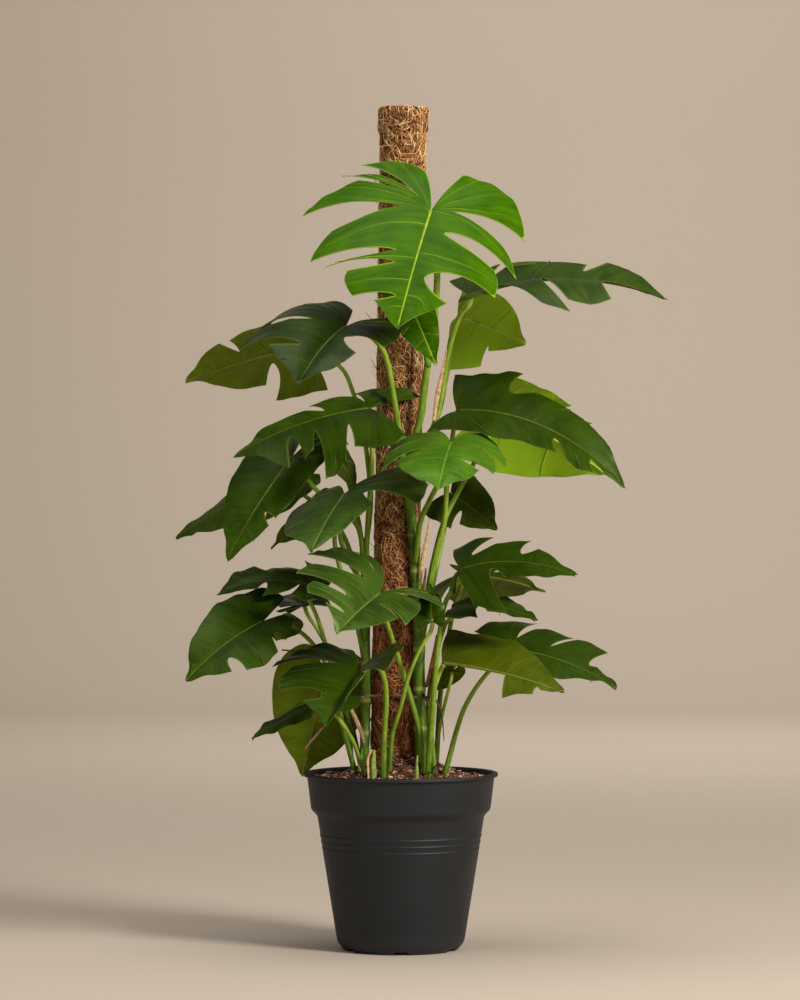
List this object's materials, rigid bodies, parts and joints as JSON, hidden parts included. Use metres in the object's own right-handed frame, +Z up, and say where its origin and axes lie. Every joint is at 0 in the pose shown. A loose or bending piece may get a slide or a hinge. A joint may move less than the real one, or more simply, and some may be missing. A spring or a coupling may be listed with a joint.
{
  "type": "potted monstera deliciosa on a coir pole",
  "caption": "Climbing house plant with large split leaves on long stalks, grown against an upright coir pole and rooted in soil in a round black nursery pot.",
  "frame": {"origin": "middle of the pot's underside, on the surface that it stands on", "axes": "+Z up, -Y the front that the newest leaf hangs towards, +X to the right as seen from the front"},
  "size_m": [0.6874, 0.4063, 1.1784],
  "materials": {
    "pot_plastic": "satin",
    "soil": "matte",
    "coir": "matte",
    "stake_wood": "matte",
    "stalk_green": "satin",
    "leaf_deep": "satin",
    "leaf_fresh": "satin",
    "leaf_dusky": "satin"
  },
  "bodies": {
    "root": {"nursery_pot": "pot_plastic", "soil": "soil", "coir_sleeve": "coir", "pole_stake": "stake_wood", "stem_left": "stalk_green", "stem_right": "stalk_green", "stalk_centre_low": "stalk_green", "stalk_centre_small": "stalk_green", "stalk_low_front": "stalk_green", "stalk_right_low_twisted": "stalk_green", "stalk_right_low_back": "stalk_green", "stalk_right_low_thin": "stalk_green", "stalk_low_right_big": "stalk_green", "stalk_low_right_far": "stalk_green", "stalk_low_right_small": "stalk_green", "stalk_lower_left": "stalk_green", "stalk_left_split": "stalk_green", "stalk_lower_left_back": "stalk_green", "stalk_low_left_drooping": "stalk_green", "stalk_low_left_back": "stalk_green", "leaf_top": "leaf_fresh", "leaf_upper_back": "leaf_deep", "leaf_upper_right": "leaf_deep", "leaf_right_high": "leaf_deep", "leaf_right_back": "leaf_deep", "leaf_middle_front": "leaf_dusky", "leaf_left_high": "leaf_deep", "leaf_far_left_high": "leaf_deep", "leaf_young_front": "leaf_fresh", "leaf_left_upper": "leaf_deep", "leaf_left_inner": "leaf_deep", "leaf_left_hanging": "leaf_deep", "leaf_far_left_low": "leaf_deep", "leaf_centre_left": "leaf_dusky", "leaf_under_left": "leaf_deep", "leaf_left_split": "leaf_deep", "leaf_lower_left": "leaf_deep", "leaf_lower_left_back": "leaf_deep", "leaf_centre_low": "leaf_dusky", "leaf_centre_small": "leaf_deep", "leaf_low_front": "leaf_deep", "leaf_low_left_drooping": "leaf_deep", "leaf_low_left_back": "leaf_deep", "leaf_middle_right_inner": "leaf_deep", "leaf_right_low_twisted": "leaf_deep", "leaf_right_low_back": "leaf_deep", "leaf_right_low_thin": "leaf_deep", "leaf_low_right_big": "leaf_deep", "leaf_low_right_far": "leaf_deep", "leaf_low_right_small": "leaf_deep"}
  },
  "joints": []
}
